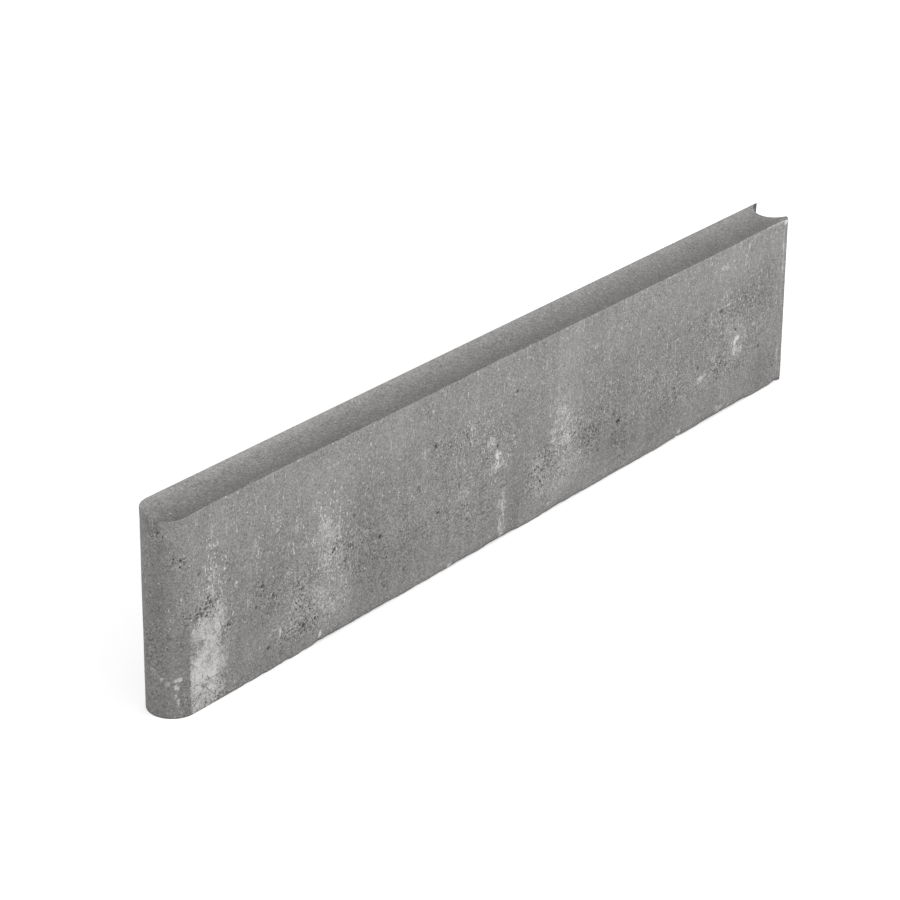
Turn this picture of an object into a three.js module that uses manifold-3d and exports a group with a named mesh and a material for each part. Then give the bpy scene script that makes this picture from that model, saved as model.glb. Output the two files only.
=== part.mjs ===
// Concrete kerb stone for edging lawns, paths and beds: one cast piece of plain concrete.
// Its near end is a half-round nose and its far end a half-round groove, so that stones set in a row
// turn on each other without an open joint. The struck top is slightly dished between its two rims.
//
// Frame: millimetres, X along the stone from nose to groove, Y through it from front to back face,
// Z up. The origin is in the middle of the bed, the face that the stone stands on.
import * as THREE from "three";
import { mergeVertices } from "three/addons/utils/BufferGeometryUtils.js";
import Module from "manifold-3d";

// Driving dimensions.
const length = 1000; // over all, from the crest of the nose to the tips of the horns
const width = 50; // between the front and the back face
const height = 200; // from the bed to the rims of the top
const topDish = 2.2; // depth of the dished top below its rims, on the centre line
const rimRadius = 1.2; // rounding of the two rims of the top
const bedArris = 1; // chamfer along the two long edges of the bed
const hornTip = 1; // flat on the tip of each horn beside the groove
const grooveLead = 1.5; // straight run of the groove's walls from the mouth to its half round
const cutMargin = 10; // how far a blank runs past the faces that cut it

// Sizes that follow from them.
const half = width / 2;
const noseRadius = half; // a full half round, so that it runs into both faces
const noseCentre = -length / 2 + noseRadius;
const grooveRadius = half - hornTip;
const mouth = length / 2; // the plane of the horn tips, where the groove opens
const grooveCentre = mouth - grooveLead;

// Outline of the stone from above, drawn as (x, y): faces, groove and nose.
function planOutline() {
  const outline = new THREE.Shape();
  outline.moveTo(noseCentre, -half);
  outline.lineTo(mouth, -half);
  outline.lineTo(mouth, -grooveRadius);
  outline.lineTo(grooveCentre, -grooveRadius);
  outline.absarc(grooveCentre, 0, grooveRadius, -Math.PI / 2, Math.PI / 2, true);
  outline.lineTo(mouth, grooveRadius);
  outline.lineTo(mouth, half);
  outline.lineTo(noseCentre, half);
  outline.absarc(noseCentre, 0, noseRadius, Math.PI / 2, (3 * Math.PI) / 2, false);
  return outline;
}

// Section of the stone, drawn as (y, z): bed, faces, and the dished top, one arc that runs smoothly
// into the round of each rim. The dish circle touches both rim circles from outside.
function sectionOutline() {
  const rimY = half - rimRadius;
  const rimZ = height - rimRadius;
  const dishRadius = (rimY ** 2 + topDish ** 2) / (2 * topDish) - rimRadius;
  const dishZ = height - topDish + dishRadius;
  const sweep = Math.atan2(rimY, dishZ - rimZ);
  const up = Math.PI / 2;

  const outline = new THREE.Shape();
  outline.moveTo(-half + bedArris, 0);
  outline.lineTo(half - bedArris, 0);
  outline.lineTo(half, bedArris);
  outline.absarc(rimY, rimZ, rimRadius, 0, up + sweep, false);
  outline.absarc(0, dishZ, dishRadius, -up + sweep, -up - sweep, true);
  outline.absarc(-rimY, rimZ, rimRadius, up - sweep, Math.PI, false);
  outline.lineTo(-half, bedArris);
  return outline;
}

// The plan outline carried up past the top: cuts nose and groove.
function planBlank() {
  const depth = height + 2 * cutMargin;
  const blank = new THREE.ExtrudeGeometry(planOutline(), { depth, bevelEnabled: false, curveSegments: 24 });
  return blank.translate(0, 0, -cutMargin);
}

// The section carried along X past both ends: cuts bed, faces and top.
function sectionBlank() {
  const depth = length + 2 * cutMargin;
  const blank = new THREE.ExtrudeGeometry(sectionOutline(), { depth, bevelEnabled: false, curveSegments: 8 });
  // The section's y, z and the direction of the extrusion become Y, Z and X.
  const turn = new THREE.Matrix4().makeBasis(
    new THREE.Vector3(0, 1, 0),
    new THREE.Vector3(0, 0, 1),
    new THREE.Vector3(1, 0, 0),
  );
  return blank.applyMatrix4(turn).translate(-length / 2 - cutMargin, 0, 0);
}

const wasm = await Module();
wasm.setup();

// A closed three.js geometry as a solid that can be cut and joined.
function solidOf(geometry) {
  const bare = geometry.clone();
  bare.deleteAttribute("normal");
  bare.deleteAttribute("uv");
  const merged = mergeVertices(bare);
  return new wasm.Manifold(
    new wasm.Mesh({
      numProp: 3,
      vertProperties: new Float32Array(merged.attributes.position.array),
      triVerts: new Uint32Array(merged.index.array),
    }),
  );
}

// A solid as a three.js geometry, flat shaded.
function geometryOf(solid) {
  const mesh = solid.getMesh();
  const geometry = new THREE.BufferGeometry()
    .setAttribute("position", new THREE.BufferAttribute(mesh.vertProperties, 3))
    .setIndex(new THREE.BufferAttribute(mesh.triVerts, 1))
    .toNonIndexed();
  geometry.computeVertexNormals();
  return geometry;
}

const concrete = new THREE.MeshStandardMaterial({ color: "#908e8d", roughness: 0.95, metalness: 0 });

const stone = new THREE.Mesh(geometryOf(solidOf(sectionBlank()).intersect(solidOf(planBlank()))), concrete);
stone.name = "kerb_stone";

const kerb = new THREE.Group();
kerb.add(stone);

export default kerb;
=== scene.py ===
"""Looks for the concrete kerb stone: its worn casting, its finish, a plain studio and the camera.

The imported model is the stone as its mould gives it.  This script puts a detailed casting in its
place, with rims rounded by use, one horn worn back, air pits, mould seams and an uneven bed edge,
and dresses it as weathered grey concrete with patches of lime bloom.

Sizes are in millimetres, and go to metres where a mesh, a lamp or the camera is made.  A place on
the stone's wall is given as along and height.  Along runs round the plan outline from the seam
between nose and front face: it grows towards the groove, and it is negative on the nose.
"""

import logging
import math
from collections.abc import Callable
from dataclasses import dataclass
from enum import Enum
from functools import partial
from itertools import product

import bpy
import numpy as np
from mathutils import Matrix, Vector

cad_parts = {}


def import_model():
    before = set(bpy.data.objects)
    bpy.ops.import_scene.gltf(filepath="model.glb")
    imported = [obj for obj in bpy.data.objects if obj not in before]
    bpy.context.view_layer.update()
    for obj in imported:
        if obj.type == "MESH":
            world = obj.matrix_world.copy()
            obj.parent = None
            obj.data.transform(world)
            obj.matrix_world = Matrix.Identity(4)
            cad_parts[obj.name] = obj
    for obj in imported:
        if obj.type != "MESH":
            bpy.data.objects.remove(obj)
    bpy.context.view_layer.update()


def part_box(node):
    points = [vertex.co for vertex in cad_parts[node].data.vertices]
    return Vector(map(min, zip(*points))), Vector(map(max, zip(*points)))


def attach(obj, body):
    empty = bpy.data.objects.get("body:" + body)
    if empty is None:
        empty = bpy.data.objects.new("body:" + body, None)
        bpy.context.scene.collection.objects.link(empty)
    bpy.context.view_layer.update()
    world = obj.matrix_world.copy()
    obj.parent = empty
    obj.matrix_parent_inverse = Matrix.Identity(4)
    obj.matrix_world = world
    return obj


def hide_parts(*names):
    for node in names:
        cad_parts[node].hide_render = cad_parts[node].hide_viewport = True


MM = 0.001
NODE = "kerb_stone"
BODY = "root"
UNROLLED = "unrolled_wall"
WHITE = "#ffffff"
NOISE_MIDDLE = 0.5
log = logging.getLogger("kerb")

Field = np.ndarray
Socket = bpy.types.NodeSocket
AddNode = Callable[..., Socket | None]

# Blender's names for the types of node that the finish is mostly made of.
ATTRIBUTE = "ShaderNodeAttribute"
BLEND = "ShaderNodeMix"
CELLS = "ShaderNodeTexVoronoi"
MATH = "ShaderNodeMath"
RANGE = "ShaderNodeMapRange"
VECTOR = "ShaderNodeVectorMath"


def linear(code: str) -> tuple[float, float, float, float]:
    """Turns a colour as a screen shows it into the linear colour that a shader takes.

    Args:
        code: sRGB colour as "#rrggbb".

    Returns:
        Linear red, green and blue, and an alpha of 1.
    """
    levels = [int(code[i : i + 2], 16) / 255 for i in (1, 3, 5)]
    red, green, blue = (v / 12.92 if v <= 0.04045 else ((v + 0.055) / 1.055) ** 2.4 for v in levels)
    return red, green, blue, 1.0


def ease(low: float, high: float, value: Field) -> Field:
    """Smooth step from 0 at low to 1 at high by 3t^2 - 2t^3, falling where high lies below low."""
    t = np.clip((value - low) / (high - low), 0, 1)
    return t * t * (3 - 2 * t)


def add_node(
    tree: bpy.types.NodeTree, kind: str, inputs: dict | tuple = (), give: int | str = 0, **settings: object
) -> Socket | None:
    """Adds a node with its settings, and fills or links its sockets.

    Args:
        tree: Node tree that gets the node.
        kind: Blender's name for the type of node.
        inputs: The values or output sockets that its sockets take, in order or by name or number.
        give: Name or number of the output socket to give back.
        settings: Properties of the node itself.

    Returns:
        The chosen output socket, or None from a node that ends its tree.
    """
    node = tree.nodes.new(kind)
    for name, value in settings.items():
        setattr(node, name, value)
    for name, value in inputs.items() if isinstance(inputs, dict) else enumerate(inputs):
        if isinstance(value, Socket):
            tree.links.new(value, node.inputs[name])
        else:
            node.inputs[name].default_value = value
    return node.outputs[give] if node.outputs else None


def fresh_nodes(owner: bpy.types.Material | bpy.types.World) -> AddNode:
    """Empties the node tree of a material or a world.

    Args:
        owner: The material or the world.

    Returns:
        What adds a node to its tree.
    """
    owner.use_nodes = True
    owner.node_tree.nodes.clear()
    return partial(add_node, owner.node_tree)


def placed(name: str, data: bpy.types.ID) -> bpy.types.Object:
    """Makes an object and puts it into the scene.

    Args:
        name: Name of the object.
        data: Its mesh, lamp or camera.

    Returns:
        The object.
    """
    made = bpy.data.objects.new(name, data)
    bpy.context.scene.collection.objects.link(made)
    return made


def direction(bearing: float, height: float) -> Vector:
    """The way at a bearing, in degrees from the front towards the grooved end, and at a height."""
    turn, rise = math.radians(bearing), math.radians(height)
    return Vector((math.sin(turn) * math.cos(rise), -math.cos(turn) * math.cos(rise), math.sin(rise)))


def arc(x: float, y: float, radius: float, turn: Field) -> Field:
    """Points of a circle about x, y: the radius times the cosine and the sine of each angle."""
    return np.column_stack([x + radius * np.cos(turn), y + radius * np.sin(turn)])


@dataclass(frozen=True)
class Ramp:
    """An effect that eases in as a value changes: where it starts, where it is full, and its size."""

    start: float
    full: float
    size: float = 1.0

    def at(self, place: Field) -> Field:
        """Size of the effect at each place."""
        return self.size * ease(self.start, self.full, place)


@dataclass(frozen=True)
class CellNoise:
    """Smooth random field: seeded random values on a cubic lattice, eased between its corners."""

    seed: int
    cells: int = 48

    def at(self, points: Field, size: float) -> Field:
        """Reads the field, which runs from -1 to 1.

        The value is the sum, over the eight corners of a point's cell, of the corner's random value
        times the product, over the axes, of the eased nearness to that corner.

        Args:
            points: Places in mm, in an array whose last axis holds x, y and z.
            size: Edge of a lattice cell in mm, which is about half a wave.

        Returns:
            The field at each point.
        """
        lattice = np.random.default_rng(self.seed).uniform(-1, 1, (self.cells,) * 3)
        low = np.floor(points / size).astype(int)
        part = ease(0, 1, points / size - low)
        total = np.zeros(points.shape[:-1])
        for corner in product((0, 1), repeat=3):
            i, j, k = np.moveaxis((low + corner) % self.cells, -1, 0)
            nearness = np.prod(np.where(corner, part, 1 - part), axis=-1)
            total += nearness * lattice[i, j, k]
        return total

    def along_line(self, place: Field, size: float, track: int) -> Field:
        """Reads the field along one of several unlike lines, for what varies along an edge only."""
        zero = np.zeros_like(place)
        return self.at(np.stack([place, zero + (track + 0.5) * size, zero], -1), size)

    def wander(self, points: Field, *parts: tuple[float, float, float]) -> Field:
        """Sum of parts that are read at offsets, so that no two are alike: offset, size and reach."""
        return sum(reach * self.at(points + offset, size) for offset, size, reach in parts)


class Coat(Enum):
    """What varies over the cast skin, each held by the mesh as an attribute from 0 to 1.

    Dryness alone runs from -1, damp, to 1, dry and pale; it also holds a painted light on the back of the
    top and painted shade in the groove.
    """

    # Lime bloom, and a painted highlight along the front rim by the horn.
    BLOOM = "lime_bloom_and_rim_highlight"
    OPEN = "open_texture"
    # Painted shade on the low front side of the top, round the nose's top, in the groove and at the foot.
    PAINTED_SHADE = "dark_painted_shade"
    # Painted shade in the air pits, darker where they are deeper.
    PAINTED_PIT_SHADE = "painted_pit_shade"
    DRAG = "drag_marks"
    DRYNESS_AND_PAINTED_LIGHT = "dryness_and_painted_light"


@dataclass(frozen=True)
class Spot:
    """A soft-edged patch on the wall: its middle, its size in mm, and its strength.

    The strength is 1 at most, and it is negative where the patch takes away from the others.
    """

    along: float
    height: float
    wide: float
    high: float
    strength: float
    edge: Ramp = Ramp(1.3, 0.5)

    def cover(self, s: Field, z: Field) -> Field:
        """The strength at each place: full in the middle, and eased to nothing round the ellipse."""
        reach = np.hypot((s - self.along) / (self.wide / 2), (z - self.height) / (self.high / 2))
        return self.strength * self.edge.at(reach)


def spots(*rows: tuple[float, float, float, float, float]) -> tuple[Spot, ...]:
    """Makes patches from rows of numbers: along, height, how wide, how high, and strength."""
    return tuple(Spot(*row) for row in rows)


@dataclass(frozen=True)
class Pit:
    """A hole that an air bubble left in the wall, as a round bowl."""

    along: float
    height: float
    diameter: float
    lens_share: float = 3.2
    squeeze: float = 0.38

    def draw_in(self, s: Field, z: Field) -> tuple[Field, Field]:
        """Slides the grid towards the pit, so that its bowl has enough faces.

        A place keeps its direction from the pit, and its distance is multiplied by a factor that
        eases from squeeze, in the pit, to 1 at the lens radius.

        Args:
            s: Distances along the wall.
            z: Heights above the bed.

        Returns:
            The moved distances and heights.
        """
        step, rise = s - self.along, z - self.height
        lens_radius = self.lens_share * self.diameter
        factor = self.squeeze + (1 - self.squeeze) * ease(0, lens_radius, np.hypot(step, rise))
        return self.along + step * factor, self.height + rise * factor

    def bowl(self, s: Field, z: Field, ripple: Field) -> Field:
        """Share of its depth: 1 in the middle, less the square of the way out to the rippled rim."""
        reach = np.hypot(s - self.along, z - self.height) / (self.diameter / 2) * (1 + ripple)
        return np.clip(1 - reach**2, 0, None)


@dataclass(frozen=True)
class Scuff:
    """A stretch of an edge that is worn deeper, or less where its depth in mm is below 0."""

    along: float
    long: float
    deep: float

    def wear(self, s: Field) -> Field:
        """Depth of the wear at each distance along the edge, eased to nothing at both ends."""
        return self.deep * ease(self.long / 2, self.long / 6, np.abs(s - self.along))


@dataclass
class PlanRings:
    """The stone seen from above, as rings of points at a given distance inside its outline.

    A ring runs anticlockwise: along the front face, round the groove, along the back face and round
    the nose.  Every ring has the same number of points, so that rings can be joined.

    The groove's lead is the straight run of its walls, and beside it each horn ends in a flat tip.
    The worn horn has a rounded corner, and on the horn's run the points lie closer.
    """

    length: float
    width: float
    horn_tip: float = 1.0
    groove_lead: float = 1.5
    horn_corner: float = 3.0
    horn_run: float = 40.0
    face_columns: int = 396
    horn_columns: int = 18
    groove_columns: int = 34
    nose_columns: int = 36
    corner_points: int = 16
    groove_points: int = 200

    @property
    def half(self) -> float:
        """Half the width, which is also the nose's radius and the inset of the middle line."""
        return self.width / 2

    @property
    def nose_centre(self) -> float:
        """The x where the nose's half round begins."""
        return self.half - self.length / 2

    @property
    def columns(self) -> int:
        """How many points a ring has."""
        return 2 * self.face_columns + self.groove_columns + self.nose_columns

    @property
    def groove_centre(self) -> float:
        """The x of the centre of the groove's half round, which has a short straight lead-in."""
        return self.length / 2 - self.groove_lead

    def horn_meet(self, inset: float) -> float:
        """The x where a ring's straight run ends on an unworn horn.

        Just inside the outline that is the horn's flat tip.  Further in, where no tip is left, it is
        the place where the run meets the groove's circle.

        Args:
            inset: Distance inside the outline.

        Returns:
            The x of the run's end.
        """
        radius, side = self.half - self.horn_tip + inset, self.half - inset
        lead = self.groove_lead * max(1 - 2 * inset / self.horn_tip, 0.0)
        return self.groove_centre + lead - math.sqrt(max(radius**2 - side**2, 0.0))

    def groove_path(self, inset: float, wear: float) -> Field:
        """The ring's run round the groove, from the front run to the back run.

        It is the arc of the groove's circle, whose radius grows with the inset.  On the front horn,
        which is worn back, a small arc about the centre of the horn's rounded corner comes first, and
        the run turns into the groove where the two circles cross.

        Args:
            inset: Distance inside the outline.
            wear: How far the front horn is worn back.

        Returns:
            A dense run of points, as rows of x and y.
        """
        centre, side = self.groove_centre, self.half - inset
        radius, small = self.half - self.horn_tip + inset, self.horn_corner - inset
        meet_x, wall = self.horn_meet(inset), min(side, radius)
        corner = np.array([self.length / 2 - wear - self.horn_corner, self.horn_corner - self.half])
        finish = math.atan2(wall, max(centre - meet_x, 0.0))
        start, front = finish, np.array([[meet_x, -side], [meet_x, -wall]])
        if meet_x > corner[0] and small > 0:
            gap = math.hypot(centre - corner[0], corner[1])
            across = (gap**2 + radius**2 - small**2) / (2 * gap)
            start = math.atan2(-corner[1], centre - corner[0]) + math.acos(min(across / radius, 1.0))
            meet = (centre - radius * math.cos(start), -radius * math.sin(start))
            end = math.atan2(meet[1] - corner[1], meet[0] - corner[0])
            turn = np.linspace(-math.pi / 2, end, self.corner_points)
            front = arc(*corner, small, turn)
        groove = arc(centre, 0, radius, np.linspace(math.pi + start, math.pi - finish, self.groove_points))
        return np.vstack([front, groove, [[meet_x, wall], [meet_x, side]]])

    def ring(self, inset: float, wear: float) -> Field:
        """One ring, with its points spaced evenly along each of its runs.

        The last stretch of the front run, next to the horn, takes up what the wear leaves, so that
        the rest of the run is the same at every wear.

        Args:
            inset: Distance inside the outline, up to half the width.
            wear: How far the front horn is worn back.

        Returns:
            The ring's points, as rows of x and y.
        """
        side, plain = self.half - inset, self.face_columns - self.horn_columns
        path = self.groove_path(inset, wear)
        gone = np.r_[0, np.cumsum(np.hypot(*np.diff(path, axis=0).T))]
        even = np.linspace(0, gone[-1], self.groove_columns + 1)[:-1]
        groove = np.column_stack([np.interp(even, gone, axis) for axis in path.T])
        knots = [0, plain, self.face_columns]
        horn_start = self.horn_meet(inset) - self.horn_run
        number = np.arange(self.face_columns)
        front_x = np.interp(number, knots, [self.nose_centre, horn_start, path[0, 0]])
        back_x = np.interp(self.face_columns - number, knots, [self.nose_centre, horn_start, path[-1, 0]])
        front, back = (np.column_stack([x, 0 * x + y]) for x, y in ((front_x, -side), (back_x, side)))
        turn = np.linspace(math.pi / 2, 3 * math.pi / 2, self.nose_columns, endpoint=False)
        return np.vstack([front, groove, back, arc(self.nose_centre, 0, side, turn)])


@dataclass
class HalfSection:
    """The line that the rings are carried up, from the bed's middle to the top's middle."""

    half: float
    height: float
    arris_radius: float = 0.4
    rim_radius: float = 0.5
    edge_steps: int = 3
    bed_rows: int = 6
    wall_rows: int = 84
    top_rows: int = 9

    def line(self) -> tuple[Field, Field]:
        """The bed, the wall and the top as straight runs, with a quarter round between each two.

        Returns:
            The inset and the height of each ring.  The insets of the wall's rings are exactly 0.
        """
        turn = np.linspace(0, math.pi / 2, self.edge_steps + 1)[1:-1]
        by_sine, by_cosine = 1 - np.sin(turn), 1 - np.cos(turn)
        bed = np.linspace(self.half, self.arris_radius, self.bed_rows + 1)
        wall = np.linspace(self.arris_radius, self.height - self.rim_radius, self.wall_rows + 1)
        top = np.linspace(self.rim_radius, self.half, self.top_rows + 1)
        arris, rim = self.arris_radius, self.rim_radius
        inset = np.concatenate([bed, arris * by_sine, 0 * wall, rim * by_cosine, top])
        down = np.concatenate([rim * by_sine, 0 * top])
        return inset, np.concatenate([0 * bed, arris * by_cosine, wall, self.height - down])


@dataclass
class Chart:
    """The casting's grid, with a row for each ring and a column for each point of a ring.

    Level is a point's height before the top is lowered, and inset is how far its ring lies inside
    the outline.  Height is that of the whole stone.
    """

    along: Field
    level: Field
    x: Field
    y: Field
    inset: Field
    height: float

    @property
    def on_wall(self) -> Field:
        """1 on the wall's rings and 0 on the bed and the top."""
        return (self.inset == 0).astype(float)

    @property
    def on_top(self) -> Field:
        """1 on the top's rings and 0 elsewhere."""
        return ((self.inset > 0) & (self.level > self.height / 2)).astype(float)

    @property
    def from_rim(self) -> Field:
        """Distance from the edge between wall and top."""
        return np.hypot(self.inset, self.height - self.level)

    @property
    def from_arris(self) -> Field:
        """Distance from the edge between wall and bed."""
        return np.hypot(self.inset, self.level)


@dataclass
class Skin:
    """The stone's skin: the length of its outline, where the nose and the groove lie, and chance."""

    outline: float
    nose_turn: float
    groove_start: float
    groove_end: float
    seed: int = 41
    noise: CellNoise = CellNoise(seed=7)


@dataclass
class Relief(Skin):
    """What casting and handling left on the skin: waves, seams, air pits and worn edges."""

    # Waves of the skin as wave length and depth, the mould's seams, and the air pits.
    skin_waves: tuple[tuple[float, float], ...] = ((65.0, 0.30), (18.0, 0.13), (5.5, 0.06))
    calm_rim: Ramp = Ramp(0, 14)
    seam_width: float = 1.6
    seam_depth: float = 0.3
    pit_depth_share: float = 0.42
    pit_ripple: tuple[float, float, float] = (90, 1.6, 0.5)
    back_pits: int = 54
    back_margin: float = 12.0
    back_heights: tuple[float, float] = (14.0, 186.0)
    back_pit_least: float = 2.2
    back_pit_spread: float = 2.6

    # Wear of the edges, whose raggedness is a sum of waves given as length and share.
    rag: tuple[tuple[float, float], ...] = ((30.0, 1.0), (9.0, 1.0), (3.5, 0.6))
    wear_reach: float = 3.0
    rim_wear: float = 0.45
    rim_start: Ramp = Ramp(0, 30)
    rim_rag: float = 0.5
    rim_least: float = 0.1
    nose_arris_wear: float = 0.1
    face_arris_wear: Ramp = Ramp(135, 175, 1.4)
    arris_rag: float = 0.3

    # Pits of the front face as along, height and diameter, and the scuffs of its bed edge.
    face_pits: tuple[tuple[float, float, float], ...] = (
        (11, 137, 2.5), (20, 105, 3.2), (7, 97, 3.0), (21, 94, 3.4), (7, 94, 3.8), (13, 96, 4.2),
        (18, 99, 4.0), (25, 104, 4.0), (12, 101, 3.6), (28, 98, 3.2), (22, 109, 3.6), (-1, 98, 2.6),
        (47, 71, 4.2), (40, 65, 3.0), (51, 115, 2.6), (93, 91, 3.0), (84, 72, 2.6), (108, 76, 3.8),
        (100, 24, 4.0), (141, 72, 3.0), (147, 66, 3.6), (149, 27, 5.0), (193, 89, 4.0), (213, 85, 2.6),
        (221, 113, 2.6), (183, 25, 3.2), (115, 63, 2.6), (208, 71, 3.2), (259, 76, 5.2), (295, 27, 3.8),
        (266, 21, 3.0), (342, 141, 4.2), (366, 132, 3.2), (391, 136, 3.0), (416, 135, 3.0),
        (316, 107, 3.0), (329, 181, 2.4), (332, 175, 2.4), (347, 68, 3.2), (440, 107, 3.2),
        (470, 155, 3.6), (229, 57, 2.6), (379, 86, 3.0), (504, 56, 3.2), (515, 52, 3.4), (571, 74, 4.0),
        (564, 76, 3.0), (590, 70, 2.8), (604, 69, 2.6), (609, 64, 4.2), (592, 52, 3.0), (648, 60, 6.0),
        (614, 40, 3.6), (640, 73, 2.6), (716, 144, 3.2), (715, 95, 2.6), (806, 131, 3.0),
        (806, 124, 3.0), (837, 125, 4.2), (776, 123, 3.0), (797, 71, 4.0), (868, 94, 3.4),
        (852, 57, 3.6), (755, 51, 3.2), (919, 122, 2.6), (918, 58, 4.0), (951, 23, 3.6),
    )
    arris_scuffs: tuple[Scuff, ...] = (
        Scuff(70, 12, 0.5), Scuff(91, 12, 0.6), Scuff(113, 12, 0.5), Scuff(124, 14, 1.1),
        Scuff(147, 12, 0.6), Scuff(168, 14, 0.8), Scuff(187, 50, 0.5), Scuff(305, 110, -0.6),
        Scuff(437, 40, 1.0), Scuff(497, 70, -1.0), Scuff(555, 60, 0.4), Scuff(697, 120, -0.4),
        Scuff(845, 110, 0.8), Scuff(925, 70, -0.9), Scuff(960, 16, 0.9), Scuff(766, 13, 2.2),
    )

    def pits(self) -> list[Pit]:
        """The pits of the front face, and others scattered over the back face.

        Returns:
            All the pits.
        """
        random = np.random.default_rng(self.seed)
        low, high = self.back_heights
        start, end = self.groove_end + self.back_margin, self.outline - self.nose_turn
        places = random.uniform([start, low], [end, high], (self.back_pits, 2))
        sizes = self.back_pit_least + self.back_pit_spread * random.random(self.back_pits) ** 2
        front = [Pit(*numbers) for numbers in self.face_pits]
        return front + [Pit(s, z, size) for (s, z), size in zip(places, sizes)]

    def depth(self, chart: Chart, points: Field, bowls: Field) -> Field:
        """How far the skin lies below the ideal surface.

        It is the sum of the skin's waves, which die out at the rim, the bowls of the pits, the fine
        groove of the mould seam on both sides of the nose, and the wear of the edges.

        Args:
            chart: The casting's grid.
            points: Place of each grid point in space.
            bowls: Depth of the pits.

        Returns:
            The depth in mm.
        """
        waves = sum(size * (1 + self.noise.at(points, wave)) / 2 for wave, size in self.skin_waves)
        waves = waves * self.calm_rim.at(chart.from_rim) * (chart.level > 0)
        seams = sum(np.exp(-(((chart.along + at) / self.seam_width) ** 2)) for at in (0, self.nose_turn))
        return waves + bowls + self.seam_depth * seams * chart.on_wall + self.edge_wear(chart)

    def bowls(self, chart: Chart, points: Field) -> Field:
        """Depth of the pits: at each place that of the deepest bowl, whose rim is a little uneven.

        Args:
            chart: The casting's grid.
            points: Place of each grid point in space.

        Returns:
            The depth in mm.
        """
        ripple = self.noise.wander(points, self.pit_ripple)
        deepest = np.zeros_like(chart.along)
        for pit in self.pits():
            bowl = pit.bowl(chart.along, chart.level, ripple)
            deepest = np.maximum(deepest, pit.diameter * self.pit_depth_share * bowl)
        return deepest * chart.on_wall

    def edge_wear(self, chart: Chart) -> Field:
        """Depth of the wear of the front rim and of the arris, each ragged along its length.

        A wear of d is full at its edge and eased to nothing at the reach plus 2 d from it.

        Args:
            chart: The casting's grid.

        Returns:
            The depth in mm.
        """
        s, waves, reach = chart.along, enumerate(self.rag), self.wear_reach
        ragged = sum(share * self.noise.along_line(s, size, track) for track, (size, share) in waves)
        rim = self.rim_wear * self.rim_start.at(s) * (s < self.groove_start)
        rim = rim * np.clip(1 + self.rim_rag * ragged, self.rim_least, None)
        arris = (self.nose_arris_wear + self.face_arris_wear.at(s)) * (1 + self.arris_rag * ragged)
        arris = np.clip(arris + sum(scuff.wear(s) for scuff in self.arris_scuffs), 0, None)
        near_rim = ease(reach + 2 * rim, 0, chart.from_rim)
        near_arris = ease(reach + 2 * arris, 0, chart.from_arris)
        return rim * near_rim + arris * near_arris


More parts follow.
